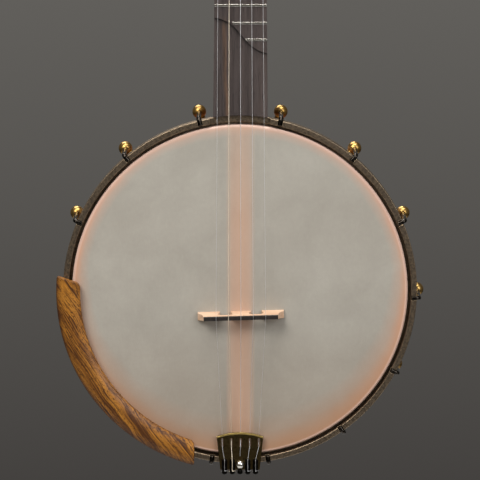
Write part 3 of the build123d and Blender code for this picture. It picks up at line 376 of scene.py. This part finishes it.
def fingerboard_wood():
    """Ebony, dark and close, with one brown streak on the bass side of the scoop, and painted shade in its
    corners.
    """
    s = Shade("fingerboard_wood", coat=0.08)
    run = s.scaled((420, 420, 16))
    fibres = s.noise(run, 1.0, 4.0, 0.65)
    bands = s.noise(s.scaled((70, 70, 3.0)), 1.0, 3.0, 0.6, 0.5)
    tone = s.ramp(
        bands, (0.3, (0.020, 0.014, 0.013)), (0.55, (0.046, 0.034, 0.031)), (0.8, (0.080, 0.058, 0.050))
    )
    tone = s.mix(s.ramp(fibres, (0.4, 0.0), (0.75, 0.5)), tone, (0.085, 0.064, 0.060))
    x, y, z = s.split()
    slow = s.noise(s.scaled((1, 1, 9)), 1.0, 2.0)
    wander = s.math("MULTIPLY", s.math("SUBTRACT", slow, 0.5), 14 * MM)
    off = s.math("ABSOLUTE", s.math("ADD", s.math("ADD", x, -STREAK_X), wander))
    streak = s.ramp(s.math("DIVIDE", off, STREAK_W), (0.0, 0.6), (1.0, 0.0))
    streak = s.math("MULTIPLY", streak, s.ramp(fibres, (0.35, 0.1), (0.7, 1.0)))
    streak = s.math("MULTIPLY", streak, s.ramp(s.math("DIVIDE", z, 0.30), (0.80, 1.0), (0.84, 0.0)))
    tone = s.mix(streak, tone, (0.20, 0.095, 0.035))
    pores = s.ramp(s.noise(s.scaled((1500, 1500, 120)), 1.0, 1.0), (0.62, 0.0), (0.7, 0.7))
    tone = s.mix(pores, tone, (0.008, 0.006, 0.006))
    edge_mask, rounded = s.edges(0.5 * MM)
    tone = s.mix(s.math("MULTIPLY", edge_mask, 0.15), tone, (0.12, 0.09, 0.08))
    # painted shade: darker in corners, such as the shadow below the scoop's step
    painted_shade = s.ramp(s.corners(7 * MM), (0.45, 1.0), (0.92, 0.0))
    tone = s.mix(s.math("MULTIPLY", painted_shade, 0.95), tone, (0.004, 0.003, 0.003))
    return s.done(tone, s.ramp(fibres, (0.3, 0.38), (0.7, 0.55)), s.bump(fibres, 0.15, 0.06 * MM, rounded))


def bone(name, light, dark, rough=0.35):
    s = Shade(name, roughness=rough, coat=0.2)
    s.shader.inputs["Subsurface Weight"].default_value = 0.15
    s.shader.inputs["Subsurface Scale"].default_value = 1 * MM
    layers = s.noise(s.scaled((260, 260, 900)), 1.0, 3.0, 0.6, 0.5)
    flecks = s.noise(s.place, 2200.0, 2.0, 0.6)
    tone = s.ramp(layers, (0.3, dark), (0.7, light))
    tone = s.mix(s.ramp(flecks, (0.6, 0.0), (0.72, 0.4)), tone, dark)
    edge_mask, rounded = s.edges(0.4 * MM)
    shine = s.ramp(layers, (0.3, rough + 0.1), (0.7, rough - 0.08))
    return s.done(tone, shine, s.bump(flecks, 0.08, 0.03 * MM, rounded))


def pearl():
    s = Shade("pearl", roughness=0.2, coat=0.6)
    swirl = s.noise(s.place, 900.0, 4.0, 0.6, 2.0)
    tone = s.ramp(swirl, (0.3, (0.55, 0.60, 0.58)), (0.5, (0.78, 0.76, 0.72)), (0.7, (0.62, 0.55, 0.60)))
    return s.done(tone, s.ramp(swirl, (0.3, 0.3), (0.7, 0.15)))


def wire(name, bright, dark, wound):
    """Plain drawn wire, or a string wound with fine round wire."""
    s = Shade(name, metallic=1.0)
    x, y, z = s.split()
    if wound:
        run = s.math("ADD", z, s.math("MULTIPLY", x, 0.35))
        turns = s.math("SINE", s.math("MULTIPLY", run, 2 * math.pi / WINDING_PITCH))
    else:
        turns = s.noise(s.scaled((3000, 3000, 60)), 1.0, 2.0)
    age = s.noise(s.scaled((90, 90, 30)), 1.0, 3.0)
    tone = s.mix(s.ramp(age, (0.35, 0.35), (0.65, 0.0)), bright, dark)
    if wound:
        # painted shade in the grooves between the turns of the winding
        tone = s.mix(s.ramp(turns, (0.0, 0.45), (0.6, 0.0)), tone, dark)
    rough = s.ramp(age, (0.3, 0.55), (0.7, 0.42))
    return s.done(tone, rough, s.bump(turns, 0.35 if wound else 0.05, 0.05 * MM))


MATERIALS = {
    "film": film(),
    "walnut": wood(
        "walnut", (0.075, 0.026, 0.014), (0.17, 0.062, 0.030), (0.30, 0.125, 0.060), (3.5, 90, 90),
        vector=round_the_rim,
    ),
    "walnut_neck": wood(
        "walnut_neck", (0.060, 0.024, 0.013), (0.145, 0.058, 0.028), (0.25, 0.115, 0.056), (75, 75, 4),
    ),
    "ebony": wood(
        "ebony", (0.010, 0.008, 0.007), (0.024, 0.019, 0.017), (0.055, 0.042, 0.036), (90, 90, 6), edge=0.35,
    ),
    "fingerboard_wood": fingerboard_wood(),
    "maple": wood(
        "maple", (0.53, 0.32, 0.20), (0.71, 0.50, 0.345), (0.79, 0.60, 0.45), (9, 150, 150),
        pores=0.12, coat=0.0, edge=0.4, gloss=(0.5, 0.65),
    ),
    "pale_wood": wood(
        "pale_wood", (0.30, 0.15, 0.075), (0.48, 0.27, 0.14), (0.62, 0.39, 0.22), (80, 80, 3.5), 0.25,
    ),
    "bocote": bocote(),
    # the hoop gets painted shade, near black, in its gaps
    "hoop_brass": metal(
        "hoop_brass", (0.80, 0.60, 0.37), (0.26, 0.198, 0.138), (0.15, 0.115, 0.083),
        patina=0.85, rough=(0.38, 0.44), edge=0.45, grain=420.0, wear=0.95, gap_shade=0.9,
    ),
    "aged_brass": metal(
        "aged_brass", (0.62, 0.40, 0.14), (0.34, 0.20, 0.055), (0.075, 0.040, 0.012),
        patina=0.45, rough=(0.27, 0.40), edge=0.4,
    ),
    "dark_brass": metal(
        "dark_brass", (0.26, 0.22, 0.18), (0.035, 0.029, 0.024), (0.012, 0.010, 0.008),
        patina=0.8, rough=(0.16, 0.28), edge=0.3, wear=0.3,
    ),
    "tail_brass": tail_metal(),
    "nickel": metal(
        "nickel", (0.86, 0.83, 0.76), (0.66, 0.63, 0.57), (0.30, 0.27, 0.22),
        patina=0.15, rough=(0.12, 0.26), edge=0.3,
    ),
    "steel": metal(
        "steel", (0.60, 0.58, 0.55), (0.36, 0.35, 0.33), (0.12, 0.11, 0.10),
        patina=0.3, rough=(0.22, 0.42), edge=0.3,
    ),
    "string_steel": wire("string_steel", (0.96, 0.96, 0.98), (0.70, 0.70, 0.72), False),
    "string_bronze": wire("string_bronze", (1.0, 0.90, 0.76), (0.74, 0.62, 0.46), True),
    "bone": bone("bone", (0.78, 0.72, 0.58), (0.60, 0.52, 0.38)),
    "pearl": pearl(),
    "knob_ivory": bone("knob_ivory", (0.74, 0.62, 0.40), (0.56, 0.43, 0.24), 0.28),
}

for part in frame["record"]["subparts"]:
    node = NODES[part["node"]]
    node.data.materials.clear()
    node.data.materials.append(MATERIALS[part["material_slot"]])


# ---------------------------------------------------------------- made pieces
def finish_piece(name, mesh, slot, body):
    mesh.materials.append(MATERIALS[slot])
    for face in mesh.polygons:
        face.use_smooth = True
    piece = bpy.data.objects.new(name, mesh)
    bpy.context.scene.collection.objects.link(piece)
    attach(piece, body)


def wire_mesh(name, route, radius, sides=8):
    """A round wire swept along a list of points."""
    route = [Vector(p) for p in route]
    verts = []
    faces = []
    normal = None
    for i, point in enumerate(route):
        ahead = route[min(i + 1, len(route) - 1)] - route[max(i - 1, 0)]
        ahead.normalize()
        if normal is None:
            normal = ahead.orthogonal().normalized()
        normal = (normal - ahead * normal.dot(ahead)).normalized()
        side = ahead.cross(normal)
        for k in range(sides):
            turn = 2 * math.pi * k / sides
            verts.append(point + (normal * math.cos(turn) + side * math.sin(turn)) * radius)
    for i in range(len(route) - 1):
        for k in range(sides):
            a = i * sides + k
            b = i * sides + (k + 1) % sides
            faces.append((a, b, b + sides, a + sides))
    faces.append(tuple(reversed(range(sides))))
    faces.append(tuple(range(len(verts) - sides, len(verts))))
    mesh = bpy.data.meshes.new(name)
    mesh.from_pydata([tuple(v) for v in verts], [], faces)
    mesh.update()
    return mesh


def post_winding(name, joint, string, slot, body, turns):
    """The string's wraps on its post, from the side of the post where the CAD string stops."""
    axis = Vector(JOINTS[joint]["axis"]).normalized()
    origin = Vector(JOINTS[joint]["pos_m"])
    end = string_end(string)
    radius = GAUGES[string]
    height = (end - origin).dot(axis)
    foot = origin + axis * height
    out = end - foot
    reach = POST_R + radius * 1.05
    out.normalize()
    across = axis.cross(out)
    steps = int(turns * STEPS_PER_WRAP)
    route = []
    for i in range(steps + 1):
        t = i / steps
        turn = 2 * math.pi * turns * t
        level = height + (2 * radius * turns * WRAP_GAP) * t
        route.append(origin + axis * level + (out * math.cos(turn) + across * math.sin(turn)) * reach)
    finish_piece(name, wire_mesh(name, route, radius), slot, body)


def string_end(node):
    """The highest point of a CAD string: the end beside its post."""
    mesh = NODES[node].data
    top = max(v.co.z for v in mesh.vertices)
    near = [v.co for v in mesh.vertices if v.co.z > top - 0.25 * MM]
    return sum((Vector(v) for v in near), Vector()) / len(near)


for n in (1, 2, 3, 4):
    slot = "string_bronze" if n == 4 else "string_steel"
    post_winding(f"winding_{n}", f"post_{n}_turn", f"string_{n}", slot, f"post_{n}", WRAPS)
post_winding("winding_5", "fifth_post_turn", "string_5", "string_steel", "fifth_post", FIFTH_WRAPS)


# ---------------------------------------------------------------- stage
FLOOR_Z = cad_bounds[0][2] - 0.80
FLOOR_R = 1.3
FLOOR_SIDES = 64


def stage_floor():
    mesh = bpy.data.meshes.new("floor")
    ring = []
    for i in range(FLOOR_SIDES):
        turn = 2 * math.pi * i / FLOOR_SIDES
        ring.append((FLOOR_R * math.cos(turn), FLOOR_R * math.sin(turn), FLOOR_Z))
    mesh.from_pydata(ring, [], [tuple(range(FLOOR_SIDES))])
    floor = bpy.data.objects.new("floor", mesh)
    s = Shade("floor_paint", roughness=0.8)
    mist = s.noise(s.place, 3.0, 3.0)
    mesh.materials.append(s.done(s.ramp(mist, (0.3, 0.62), (0.7, 0.68))))
    bpy.context.scene.collection.objects.link(floor)


def world_light():
    world = bpy.data.worlds.new("studio")
    world.use_nodes = True
    bpy.context.scene.world = world
    tree = world.node_tree
    back = tree.nodes["Background"]
    place = tree.nodes.new("ShaderNodeTexCoord")
    split = tree.nodes.new("ShaderNodeSeparateXYZ")
    ramp = tree.nodes.new("ShaderNodeValToRGB")
    shift = tree.nodes.new("ShaderNodeMapRange")
    tree.links.new(place.outputs["Generated"], split.inputs[0])
    tree.links.new(split.outputs["Z"], shift.inputs["Value"])
    shift.inputs["From Min"].default_value = -0.27
    shift.inputs["From Max"].default_value = -0.09
    tree.links.new(shift.outputs[0], ramp.inputs["Fac"])
    ramp.color_ramp.elements[0].color = (0.050, 0.046, 0.043, 1)
    ramp.color_ramp.elements[1].color = (0.128, 0.122, 0.112, 1)
    tree.links.new(ramp.outputs["Color"], back.inputs["Color"])


def area_light(name, place, aim, size, power, tint):
    data = bpy.data.lights.new(name, "AREA")
    data.shape = "RECTANGLE"
    data.size, data.size_y = size
    data.energy = power
    data.color = tint
    lamp = bpy.data.objects.new(name, data)
    lamp.location = place
    lamp.rotation_euler = (Vector(aim) - Vector(place)).to_track_quat("-Z", "Y").to_euler()
    bpy.context.scene.collection.objects.link(lamp)


# ---------------------------------------------------------------- camera
CAMERA_AWAY = 3.0
CAMERA_PITCH = math.radians(10.44)
CAMERA_AIM_Z = 0.04707
CAMERA_LENS = 248.3

stage_floor()
world_light()
area_light("key", (-0.8, -1.2, 1.25), (0, 0, 0.05), (0.9, 0.9), 27, (1.0, 0.97, 0.93))
area_light("fill", (1.4, -1.7, 0.9), (0, 0, 0), (1.2, 1.4), 25, (0.97, 0.98, 1.0))
area_light("top", (0.1, -0.35, 1.7), (0, 0, 0.1), (1.2, 0.6), 22, (1.0, 0.98, 0.95))
area_light("behind", (-0.5, 1.3, 1.9), (0, 0, 0.2), (1.4, 0.9), 34, (1.0, 1.0, 1.0))

camera = bpy.data.objects.new("camera", bpy.data.cameras.new("camera"))
aim = Vector((0, 0, CAMERA_AIM_Z))
back = Vector((0, -math.cos(CAMERA_PITCH), math.sin(CAMERA_PITCH)))
camera.location = aim + back * CAMERA_AWAY
camera.rotation_euler = (-back).to_track_quat("-Z", "Y").to_euler()
camera.data.lens = CAMERA_LENS
camera.data.clip_end = 50
bpy.context.scene.collection.objects.link(camera)
bpy.context.scene.camera = camera
bpy.context.scene.view_settings.view_transform = "Standard"
